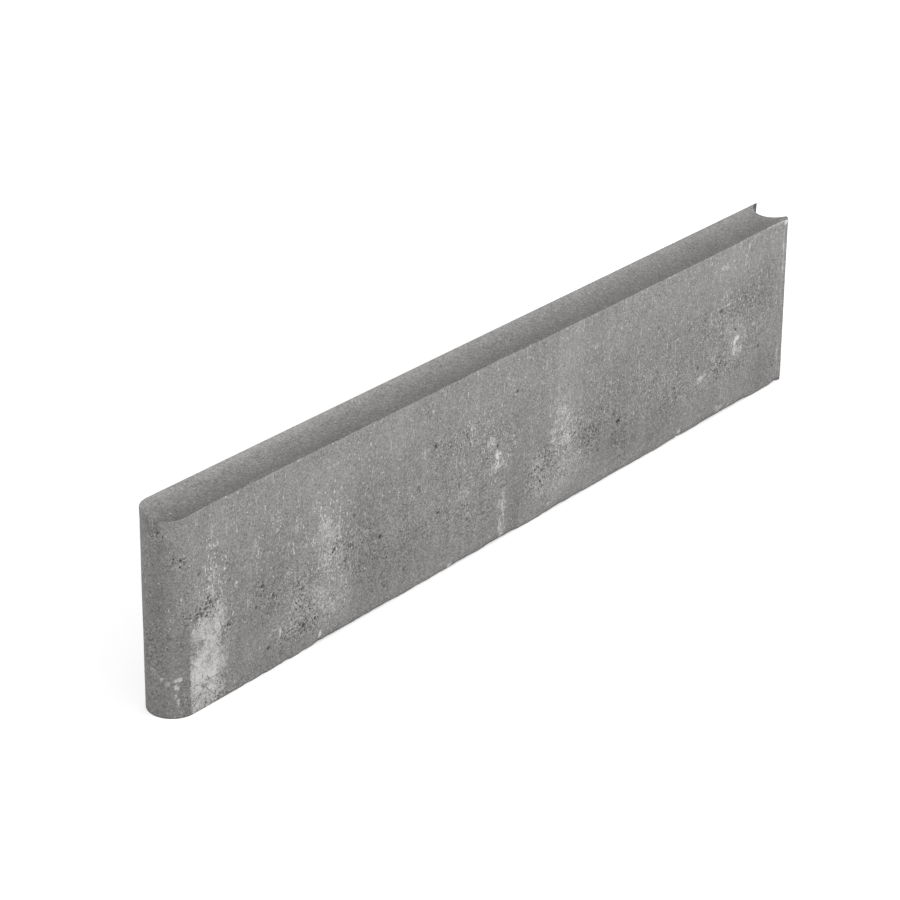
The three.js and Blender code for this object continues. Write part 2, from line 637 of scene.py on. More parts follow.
@dataclass
class Weathering(Skin):
    """Coats on the skin: lime, dryness and texture that the mould and the weather left, and painted light
    and shade.
    """

    # Outlines of the coats wander by waves of the noise, each given as offset, size and reach.
    along_wander: tuple[tuple[float, float, float], ...] = ((200, 9.0, 2.2), (500, 3.5, 1.2))
    height_wander: tuple[tuple[float, float, float], ...] = ((400, 12.0, 4.0), (700, 3.5, 1.5))
    front_start: float = -2.4
    # A painted highlight along the front rim by the horn, carried by the lime coat.
    rim_painted_highlight: Ramp = Ramp(1.2, 0.6, 0.65)
    rim_painted_highlight_start: Ramp = Ramp(900, 940)
    # Depth of pit at which its painted shade is full.
    painted_pit_shade_depth: float = 1.2
    rough_waves: tuple[float, float, float] = (300, 30.0, 1.0)
    rough_patches: Ramp = Ramp(0.1, 0.7)
    rough_share: float = 0.35
    rough_fade: Ramp = Ramp(60, 150, 0.3)
    least_drag: float = 0.22
    drag_rise: Ramp = Ramp(30, 130, 0.16)

    # Dryness: of the wall from its patches up, and of the top along x and towards its back, where the
    # paler back of the top is a painted light.
    dry_start: float = -60.0
    dry_rise: Ramp = Ramp(110, 180, 0.25)
    top_dryness_and_painted_light: tuple[tuple[float, float], ...] = (
        (-440, 0.8), (-400, 1.5), (-260, 1.4), (-150, 0.85), (330, 0.8), (400, 0.5),
    )
    top_back_painted_light: Ramp = Ramp(8, 25)
    top_damp: float = 0.3

    # Painted shade: on the low front side of the top, on the nose's shaded side, at the foot, in the
    # groove.
    low_side_painted_shade: Ramp = Ramp(22, -30, 0.64)
    painted_shade_horn_fade: Ramp = Ramp(455, 480, 0.7)
    nose_top_painted_shade: Ramp = Ramp(-476, -488, 0.25)
    nose_side: Ramp = Ramp(-6, -14)
    foot_painted_shade: Ramp = Ramp(3, 0, 0.45)
    lower_wall_painted_shade: Ramp = Ramp(150, 0, 0.05)
    groove_front: Ramp = Ramp(-0.5, 1)
    groove_back: Ramp = Ramp(1, -2)
    groove_least: float = 0.5
    groove_rise: Ramp = Ramp(130, 180, 0.5)

    # Bloom scattered over the back face: how many patches, and the least and the most of a patch's
    # numbers, with along counted from the groove's end and from the end of the outline.
    back_blooms: int = 30
    back_bloom_least: tuple[float, ...] = (20, 5, 8, 40, 0.12)
    back_bloom_most: tuple[float, ...] = (-90, 160, 44, 120, 0.34)

    # Lime: sharp crusts and runs on the nose, and clouds on the front face.
    nose_bloom: tuple[Spot, ...] = spots(
        (-13.2, 40, 6.5, 4.5, 1), (-17.3, 38.6, 5, 3, 1), (-20.5, 37, 3.5, 2, 0.8),
        (-17.3, 32.2, 3.5, 6, 1), (-15.6, 30.6, 3.5, 4, 1), (-30.4, 40, 5, 5, 1), (-35, 43, 9, 3.5, 0.6),
        (-25.2, 35.5, 4.5, 7, 0.8), (-18, 23, 3, 6, 0.5), (-15.6, 16.5, 3.6, 9, 0.85),
        (-12, 7.5, 3.5, 9, 0.6), (-40, 47, 12, 3.5, 0.5), (-1, 16, 6, 30, 0.5),
    )
    face_bloom: tuple[Spot, ...] = spots(
        (12, 44, 60, 112, 0.5), (6, 80, 16, 22, 0.35), (6, 67, 22, 26, -0.6), (18, 44, 34, 50, 0.5),
        (36, 85, 20, 34, 0.5), (16, 76, 30, 22, 0.3), (2, 22, 16, 50, 0.45), (38, 50, 24, 90, 0.25),
        (25, 17, 12, 10, 0.6), (28, 140, 22, 60, 0.2), (22, 112, 30, 30, 0.2), (92, 42, 20, 5, 0.45),
        (106, 38, 18, 5, 0.5), (116, 32, 4, 12, 0.8), (140, 48, 30, 42, 0.25), (183, 110, 42, 46, 0.32),
        (181, 122, 16, 12, 0.25), (186, 78, 44, 30, 0.25), (180, 40, 60, 60, 0.24),
        (172, 38, 10, 10, 0.35), (172, 8, 6, 9, 1), (388, 72, 28, 13, 0.4), (430, 112, 18, 12, 0.45),
        (442, 97, 7, 5, 1), (439, 89, 4.5, 26, 0.85), (438, 88, 34, 22, 0.3), (447, 82, 10, 8, 0.4),
        (445, 30, 16, 56, 0.2), (453, 51, 4, 22, 0.45), (450, 33, 4, 22, 0.45), (447, 15, 4, 24, 0.45),
        (449, 5, 8, 8, 0.6), (430, 9, 14, 10, 0.35), (368, 3, 7, 8, 0.9), (553, 100, 46, 60, 0.3),
        (547, 108, 22, 10, 0.25), (508, 60, 26, 30, 0.3), (511, 40, 24, 16, 0.28),
        (553, 70, 36, 24, 0.26), (555, 38, 62, 40, 0.26), (581, 42, 8, 26, 0.28), (528, 8, 6, 7, 0.6),
        (532, 90, 8, 8, 0.4), (802, 55, 26, 12, 0.44), (855, 97, 20, 12, 0.42), (873, 83, 8, 7, 1),
        (868, 74, 6, 26, 0.95), (864, 73, 32, 20, 0.28), (880, 67, 14, 12, 0.45), (841, 7, 18, 14, 0.4),
        (861, 6, 8, 8, 0.6), (840, 177, 22, 8, 0.42), (881, 170, 4, 11, 0.5), (887, 188, 5, 10, 0.45),
        (964, 198, 10, 11, 1), (961, 165, 4, 70, 0.3), (960, 30, 6, 64, 0.4), (767, 5, 9, 12, 1),
        (817, 118, 5, 18, 0.35), (893, 40, 12, 32, 0.22), (961, 130, 5, 150, 0.3),
    )

    # Skin that the paste didn't fill, ground that dries pale or stays damp (below 0), and streaks
    # where the mould dragged.
    open_texture: tuple[Spot, ...] = spots(
        (-12, 156, 22, 16, 1), (-31, 181, 14, 10, 1), (-5, 100, 12, 14, 0.6), (-11, 114, 10, 10, 0.6),
        (16, 97, 40, 26, 1), (45, 70, 24, 20, 0.8), (24, 12, 56, 34, 0.5), (24, 60, 30, 30, 0.2),
        (35, 120, 50, 60, 0.3), (110, 80, 90, 44, 0.3), (150, 60, 90, 60, 0.4), (190, 60, 110, 90, 0.35),
        (150, 26, 70, 26, 0.6), (225, 90, 60, 60, 0.1), (270, 50, 90, 80, 0.2), (380, 135, 110, 30, 0.5),
        (440, 110, 60, 50, 0.5), (510, 55, 50, 50, 0.8), (560, 60, 110, 80, 0.5), (610, 90, 80, 70, 0.25),
        (650, 55, 70, 60, 0.3), (730, 80, 110, 80, 0.35), (850, 115, 130, 50, 0.4),
        (905, 100, 90, 80, 0.3), (860, 60, 80, 50, 0.4), (90, 90, 16, 12, 0.9), (144, 74, 18, 14, 1),
        (148, 62, 12, 10, 0.8), (380, 90, 170, 110, 0.3), (790, 62, 120, 60, 0.35),
        (192, 92, 26, 20, 0.9), (400, 45, 90, 60, 0.3), (565, 77, 18, 10, 1), (596, 71, 26, 14, 0.8),
        (613, 96, 16, 20, 0.6), (511, 53, 20, 16, 1), (845, 60, 50, 40, 0.5), (870, 80, 40, 40, 0.3),
        (15, 20, 60, 40, 0.3),
    )
    dry_ground: tuple[Spot, ...] = spots(
        (5, 170, 30, 60, 0.4), (38, 175, 30, 50, 0.5), (25, 120, 44, 60, 0.35), (182, 112, 44, 60, 0.6),
        (188, 60, 60, 70, 0.45), (135, 50, 60, 40, 0.4), (190, 165, 70, 70, 0.5),
        (160, 100, 60, 160, 0.25), (290, 178, 50, 50, 0.3), (387, 72, 30, 20, 0.2),
        (400, 130, 20, 30, 0.2), (440, 95, 36, 40, 0.35), (450, 30, 24, 60, 0.35),
        (480, 175, 90, 60, 0.05), (508, 35, 24, 30, 0.5), (505, 66, 24, 24, 0.3),
        (550, 120, 56, 110, 0.6), (550, 40, 80, 60, 0.45), (560, 175, 60, 60, 0.4),
        (710, 178, 50, 40, 0.05), (840, 176, 90, 46, 0.2), (810, 55, 36, 24, 0.3),
        (823, 125, 16, 30, 0.3), (846, 148, 16, 20, 0.25), (869, 85, 50, 60, 0.4),
        (-18, 190, 24, 26, 0.7), (-19, 196, 18, 12, 0.5), (-37, 193, 18, 26, -0.65),
        (-14, 170, 24, 30, 0.2), (-18, 118, 20, 90, 0.25), (-27, 40, 26, 120, 0.5),
        (-7, 20, 15, 60, -0.65), (-8, 85, 14, 70, -0.35), (110, 34, 80, 40, 0.4), (113, 85, 40, 36, 0.35),
        (138, 76, 30, 50, 0.3), (190, 91, 22, 14, -0.45), (190, 32, 60, 44, 0.6), (281, 68, 28, 28, 0.3),
        (215, 75, 24, 44, -0.3), (550, 34, 70, 44, 0.4), (508, 38, 26, 22, 0.35),
        (613, 35, 26, 26, -0.35), (671, 64, 24, 28, 0.4), (843, 72, 24, 56, -0.4), (870, 76, 22, 22, 0.3),
        (868, 126, 34, 26, -0.3), (906, 85, 18, 44, -0.35), (950, 176, 32, 54, 0.35),
        (742, 136, 38, 44, -0.3), (6, 90, 18, 20, 0.5), (5, 62, 22, 14, -0.6), (32, 76, 20, 14, -0.5),
        (50, 68, 22, 26, 0.35), (100, 70, 90, 90, -0.35), (100, 14, 90, 34, -0.3),
        (250, 110, 70, 90, -0.4), (250, 45, 60, 70, -0.55), (300, 40, 70, 60, -0.3),
        (380, 35, 120, 50, -0.05), (470, 22, 30, 60, -0.5), (480, 90, 30, 110, -0.25),
        (645, 85, 60, 110, -0.4), (655, 35, 70, 50, -0.45), (600, 62, 36, 36, -0.4),
        (725, 30, 80, 50, -0.4), (905, 128, 90, 60, -0.65), (930, 25, 60, 60, -0.5),
        (800, 110, 80, 50, -0.2), (214, 75, 16, 40, -0.4), (690, 172, 26, 20, -0.4),
        (780, 140, 30, 30, -0.3),
    )
    drag_streaks: tuple[Spot, ...] = spots(
        (31, 173, 10, 10, 1), (26, 132, 16, 24, 0.7), (24, 112, 12, 10, 0.7), (53, 87, 6, 12, 1),
        (60, 107, 8, 8, 0.8), (90, 129, 8, 30, 1), (107, 151, 7, 18, 1), (117, 143, 7, 34, 1),
        (140, 132, 6, 20, 0.9), (136, 113, 6, 16, 0.9), (171, 135, 9, 28, 1), (400, 132, 6, 18, 1),
        (455, 176, 6, 12, 0.9), (438, 88, 8, 26, 1), (450, 30, 10, 44, 1), (537, 130, 7, 38, 1),
        (555, 80, 60, 50, 0.5), (817, 122, 7, 24, 1), (848, 128, 7, 14, 1), (881, 171, 6, 14, 1),
        (887, 188, 6, 14, 1), (868, 75, 8, 26, 1), (190, 90, 70, 120, 0.4), (28, 120, 40, 110, 0.4),
        (865, 95, 110, 120, 0.2), (425, 95, 120, 130, 0.1),
    )

    def coats(self, chart: Chart, points: Field, bowls: Field) -> dict[Coat, Field]:
        """How strong each coat is at each grid point.

        Args:
            chart: The casting's grid.
            points: Place of each grid point in space.
            bowls: Depth of the pits.

        Returns:
            Strengths from 0 to 1, and from -1 for the dryness.
        """
        wall, noise = chart.on_wall, self.noise
        s = chart.along + noise.wander(points, *self.along_wander)
        z = chart.level + noise.wander(points, *self.height_wander)
        front = chart.along > self.front_start
        bloom = self.covered(self.face_bloom + self.scattered_bloom(), s, z) * front
        bloom = np.maximum(bloom, self.covered(self.nose_bloom, chart.along, chart.level))
        # A painted highlight along the front rim by the horn.
        rim_painted_highlight = self.rim_painted_highlight.at(chart.from_rim) * self.rim_painted_highlight_start.at(s) * (s < self.groove_start)
        rough = self.rough_patches.at(noise.wander(points, self.rough_waves))
        rough = rough * (self.rough_share - self.rough_fade.at(z)) + self.covered(self.open_texture, s, z)
        drag = self.least_drag + self.drag_rise.at(z) + self.covered(self.drag_streaks, s, z) * front
        return {
            Coat.BLOOM: np.maximum(bloom, rim_painted_highlight) * wall,
            Coat.OPEN: np.clip(rough, 0, 1) * wall,
            Coat.PAINTED_SHADE: np.clip(self.painted_shade(chart), 0, 1),
            # Painted shade in the pits.
            Coat.PAINTED_PIT_SHADE: np.sqrt(np.clip(bowls / self.painted_pit_shade_depth, 0, 1)),
            Coat.DRAG: np.clip(drag, 0, 1) * wall,
            Coat.DRYNESS_AND_PAINTED_LIGHT: np.clip(self.dryness_and_painted_light(chart, s, z), -1, 1),
        }

    def dryness_and_painted_light(self, chart: Chart, s: Field, z: Field) -> Field:
        """How dry the skin is, with painted light and shade in it.

        On the wall it is the sum of the patches of dry ground, more towards the top, less the painted
        shade of the groove.  On the top it goes by the list of places and grows towards the back, as a
        painted light.

        Args:
            chart: The casting's grid.
            s: Distances along the wall, with the wander of the coats.
            z: Heights above the bed, with the same.

        Returns:
            The dryness, where 0 is the stone's middle tone.
        """
        ground = sum(spot.cover(s, z) for spot in self.dry_ground) * (chart.along > self.dry_start)
        wall = ground + self.dry_rise.at(z) - self.groove_painted_shade(s, z)
        # The top is painted lighter towards its back.
        top = np.interp(chart.x, *zip(*self.top_dryness_and_painted_light)) * self.top_back_painted_light.at(chart.y) - self.top_damp
        return wall * chart.on_wall + top * chart.on_top

    def painted_shade(self, chart: Chart) -> Field:
        """How strong the painted shade is, on the low side of the top, in the groove and at the foot.

        Args:
            chart: The casting's grid.

        Returns:
            The strength, where 1 is full.
        """
        # Painted shade on the top's low front side, easing off by the horn, and round the front of the
        # nose's top.
        top = self.low_side_painted_shade.at(chart.y) * (1 - self.painted_shade_horn_fade.at(chart.x))
        top = top + self.nose_top_painted_shade.at(chart.x) * self.nose_side.at(chart.y)
        # Painted shade along the foot, and a faint one darker towards the bed.
        foot = self.foot_painted_shade.at(chart.level) + self.lower_wall_painted_shade.at(chart.level)
        return top * chart.on_top + (self.groove_painted_shade(chart.along, chart.level) + foot) * chart.on_wall

    def groove_painted_shade(self, s: Field, z: Field) -> Field:
        """Painted shade in the groove, weaker downwards, and eased to nothing at the groove's two rims."""
        inside = self.groove_front.at(s - self.groove_start) * self.groove_back.at(s - self.groove_end)
        return inside * (self.groove_least + self.groove_rise.at(z))

    def unrolled(self, chart: Chart) -> Field:
        """The wall laid out flat as along, height and 0, with along cut in the groove's middle."""
        back = chart.along > (self.groove_start + self.groove_end) / 2
        return np.stack([chart.along - self.outline * back, chart.level, 0 * chart.along], -1)

    def covered(self, patches: tuple[Spot, ...], s: Field, z: Field) -> Field:
        """Cover of patches laid over each other: 1 less the product of what each leaves clear."""
        return 1 - math.prod(1 - patch.cover(s, z) for patch in patches)

    def scattered_bloom(self) -> tuple[Spot, ...]:
        """Patches of bloom on the back face, placed at random but in the front face's sizes.

        Returns:
            The patches.
        """
        random = np.random.default_rng(self.seed + 1)
        (start, *least), (end, *most) = self.back_bloom_least, self.back_bloom_most
        low, high = [self.groove_end + start, *least], [self.outline + end, *most]
        return spots(*random.uniform(low, high, (self.back_blooms, len(low))))


@dataclass
class KerbStone:
    """The casting: plan rings carried up the half section, lowered into the dish, and weathered."""

    plan: PlanRings
    section: HalfSection

    # How far the front horn is worn back at the bed and at the top, and the dish of the top.
    horn_wear: tuple[float, float] = (3.2, 10.4)
    top_dish: float = 2.2
    dish_reach: float = 40.0
    nose_rise: Ramp = Ramp(-0.5, 0.1)
    nose_blend: float = 25.0

    # Fall of the front rim, and the slope on the rim by the horn, each as x and drop.
    rim_fall: tuple[tuple[float, float], ...] = (
        (-500, 0.0), (-498, 0.7), (-495.5, 2.0), (-492, 2.4), (-487, 2.5), (-483, 1.9), (-475, 1.4),
        (-460, 0.8), (-445, 0.45), (-420, 0.38), (-395, 0.05), (-330, 0.0), (-180, 0.25), (-70, 0.25),
        (-22, 0.0), (6, 1.15), (100, 1.5), (330, 2.4), (385, 2.45), (430, 1.4), (475, 0.6),
    )
    rim_slope: tuple[tuple[float, float], ...] = (
        (400, 0.0), (430, 0.6), (455, 1.1), (475, 2.0), (485, 2.7), (491, 5.5),
    )
    slope_width: float = 3.2
    sharp_angle: float = math.radians(38)

    def faces(self, rows: int) -> list[tuple[int, ...]]:
        """Joins each ring to the next with four-sided faces, and closes the two middle lines.

        The first and the last ring lie folded flat on a middle line, where points of the front and of
        the back run are one point; round the nose and the groove the faces come down to triangles.

        Args:
            rows: How many rings there are.

        Returns:
            The faces as tuples of vertex numbers, each anticlockwise seen from outside.
        """
        n, face = self.plan.columns, self.plan.face_columns
        turned = face + self.plan.groove_columns
        column = np.arange(n)
        runs = [column < face, column < turned, column < turned + face]
        fold = np.select(runs, [column, face, face - (column - turned)], 0)
        spine = face + 1
        inner = spine + np.arange((rows - 2) * n).reshape(rows - 2, n)
        number = np.vstack([fold, inner, spine + (rows - 2) * n + fold])
        low, high = number[:-1], number[1:]
        quads = np.stack([low, np.roll(low, -1, 1), np.roll(high, -1, 1), high], -1)
        return [tuple(dict.fromkeys(quad)) for quad in quads.reshape(-1, 4).tolist()]

    def by_vertex(self, grid: Field) -> Field:
        """A grid's values for each vertex: the bed's middle line, the rings, the top's middle line."""
        spine = self.plan.face_columns + 1
        return np.concatenate([grid[0, :spine], grid[1:-1].reshape(-1, *grid.shape[2:]), grid[-1, :spine]])

    def outline_places(self) -> tuple[Field, float]:
        """Measures along the outline, backwards from the seam on the nose and forwards elsewhere.

        Returns:
            The distance of each point of the outermost ring, and the whole way round.
        """
        outline = self.plan.ring(0, self.horn_wear[0])
        chords = np.hypot(*(np.roll(outline, -1, 0) - outline).T)
        along = np.r_[0, np.cumsum(chords)[:-1]]
        along[-self.plan.nose_columns :] -= chords.sum()
        return along, float(chords.sum())

    def chart(self, pits: list[Pit]) -> Chart:
        """Lays out the grid, with the wall's part of it drawn in towards each pit.

        The horn's wear grows evenly from the bed to the top, so each ring is a blend of the ring with
        the wear of the bed and the ring with that of the top.

        Args:
            pits: The pits of the wall.

        Returns:
            The grid before the top is dished.
        """
        inset, level = self.section.line()
        along, whole = self.outline_places()
        each, which = np.unique(inset, return_inverse=True)
        s, z = (np.array(a) for a in np.broadcast_arrays(along, level[:, None]))
        wall = inset == 0
        for pit in pits:
            s[wall], z[wall] = pit.draw_in(s[wall], z[wall])
        ends = []
        for wear in self.horn_wear:
            rings = np.stack([self.plan.ring(d, wear) for d in each])
            xy = rings[which]
            for axis in (0, 1):
                xy[wall, :, axis] = np.interp(s[wall], along, rings[0, :, axis], period=whole)
            ends.append(xy)
        share = (z / self.section.height)[..., None]
        x, y = np.moveaxis(ends[0] * (1 - share) + ends[1] * share, -1, 0)
        return Chart(s, z, x, y, np.broadcast_to(inset[:, None], s.shape), self.section.height)

    def dished(self, chart: Chart) -> Field:
        """Heights with the top lowered.

        The dish is a parabola across the stone, but on the back of the nose it rises to the rim all
        round.  The struck top also falls to the front rim, by the square of the share of the way
        across, and near the horn's tip the last few millimetres slope down further.  The upper part
        of the wall is lowered with the top, by an eased share.

        Args:
            chart: The casting's grid.

        Returns:
            The height of each grid point.
        """
        across, nose = chart.y / self.plan.half, self.plan.nose_centre
        rise = (1 - chart.inset / self.plan.half) * self.nose_rise.at(across)
        rise = rise * ease(nose + self.nose_blend, nose, chart.x)
        drop = self.top_dish * (1 - np.maximum(across**2, rise**2))
        to_front = ((1 - across) / 2) ** 2
        at_rim = np.clip(1 - (chart.y + self.plan.half) / self.slope_width, 0, 1)
        for share, places in ((to_front, self.rim_fall), (at_rim, self.rim_slope)):
            drop = drop + np.interp(chart.x, *zip(*places)) * share
        return chart.level - drop * ease(chart.height - self.dish_reach, chart.height, chart.level)

    def sunk(self, mesh: bpy.types.Mesh, ideal: Field, depth: Field) -> Field:
        """Moves each vertex inwards against its normal, and no further out than the stone's box.

        Args:
            mesh: The mesh of the ideal casting.
            ideal: Place of each vertex, in mm.
            depth: How far each vertex sinks, in mm.

        Returns:
            The new places, in mm.
        """
        outward = np.empty(3 * len(mesh.vertices), np.float32)
        mesh.vertex_normals.foreach_get("vector", outward)
        corner = np.array([self.plan.length / 2, self.plan.half, self.section.height])
        return np.clip(ideal - outward.reshape(-1, 3) * depth[:, None], -corner * (1, 1, 0), corner)

    def build(self) -> bpy.types.Object:
        """Makes the casting's mesh, with its coats as attributes.

        Returns:
            The object, at the origin, with no material yet.
        """
        along, whole = self.outline_places()
        start, end = along[np.cumsum([self.plan.face_columns, self.plan.groove_columns])]
        skin = (whole, math.pi * self.plan.half, start, end)
        relief, weathering = Relief(*skin), Weathering(*skin)
        chart = self.chart(relief.pits())
        points = np.stack([chart.x, chart.y, self.dished(chart)], -1)
        bowls = relief.bowls(chart, points)
        depth = relief.depth(chart, points, bowls)

        mesh = bpy.data.meshes.new(NODE)
        ideal = self.by_vertex(points)
        mesh.from_pydata(ideal * MM, [], self.faces(len(points)))
        mesh.update()
        sunk = self.sunk(mesh, ideal, self.by_vertex(depth)) * MM
        mesh.vertices.foreach_set("co", sunk.astype(np.float32).ravel())
        coats = weathering.coats(chart, points, bowls).items()
        layers = [(UNROLLED, "FLOAT_VECTOR", "vector", weathering.unrolled(chart))]
        layers += [(coat.value, "FLOAT", "value", strength) for coat, strength in coats]
        for name, kind, member, values in layers:
            layer = mesh.attributes.new(name, kind, "POINT")
            layer.data.foreach_set(member, self.by_vertex(values).astype(np.float32).ravel())
        mesh.polygons.foreach_set("use_smooth", np.ones(len(mesh.polygons), bool))
        mesh.set_sharp_from_angle(angle=self.sharp_angle)
        mesh.update()
        return placed(f"{NODE}_casting", mesh)


@dataclass(frozen=True)
class Grain:
    """One scale of light and dark in the concrete, as smooth noise.

    Waves are the noise's wave lengths in mm along x, y and z, detail is how many finer scales ride on
    it, and contrast is the change of tone from the noise's 0 to its 1.
    """

    waves: tuple[float, float, float]
    detail: float
    contrast: float


class Layer(Enum):
    """The concrete's scales, from the wetness of the mix down to its sand.

    Real sand is mostly under a millimetre, so it is drawn at 1.2 mm, as coarse as it needs to show.
    """

    CLOUDS = Grain((46, 46, 46), 3, 0.26)
    BANDS = Grain((11, 11, 150), 2, 0.20)
    MOTTLE = Grain((7, 7, 7), 3, 0.34)
    GRIT = Grain((2.6, 2.6, 2.6), 2, 0.40)
    SAND = Grain((1.2, 1.2, 1.2), 1, 1.10)


@dataclass(frozen=True)
class Cells:
    """Cells of a Voronoi pattern: their spacing in mm, in space or, if flat, on the unrolled wall.

    Radius is that of a cell's light mark as a share of the spacing, and strength is how far the mark
    goes towards the colour of lime.
    """

    spacing: tuple[float, float, float]
    flat: bool = False
    radius: float = 0.0
    strength: float = 0.0


class Marks(Enum):
    """What lies apart in the concrete, one to a cell, with grains as coarse as they need to show."""

    GRAINS = Cells((1.4, 1.4, 1.4))
    PORES = Cells((3.2, 3.2, 3.2))
    SPECKS = Cells((3.0, 3.4, 1), True, 0.27, 1.0)
    DASHES = Cells((3.4, 10.0, 1), True, 0.24, 0.9)
    SCRATCHES = Cells((2.8, 28.0, 1), True, 0.3, 0.42)


@dataclass(frozen=True)
class Patterns:
    """What the finish is mixed from: coats, noises less their middle, cells, and flakes of lime.

    Swing is how far the grain swings, flash is how strongly a single grain shows, plate is a grey for
    each flake, and crack is the distance to a flake's edge.
    """

    add: AddNode
    coat: dict[Coat, Socket]
    noise: dict[Layer, Socket]
    cell: dict[Marks, Socket]
    swing: Socket
    flash: Socket
    plate: Socket
    crack: Socket

    def chance(self, marks: Marks) -> Socket:
        """A random grey for each cell, the same all over the cell."""
        return self.cell[marks].node.outputs["Color"]


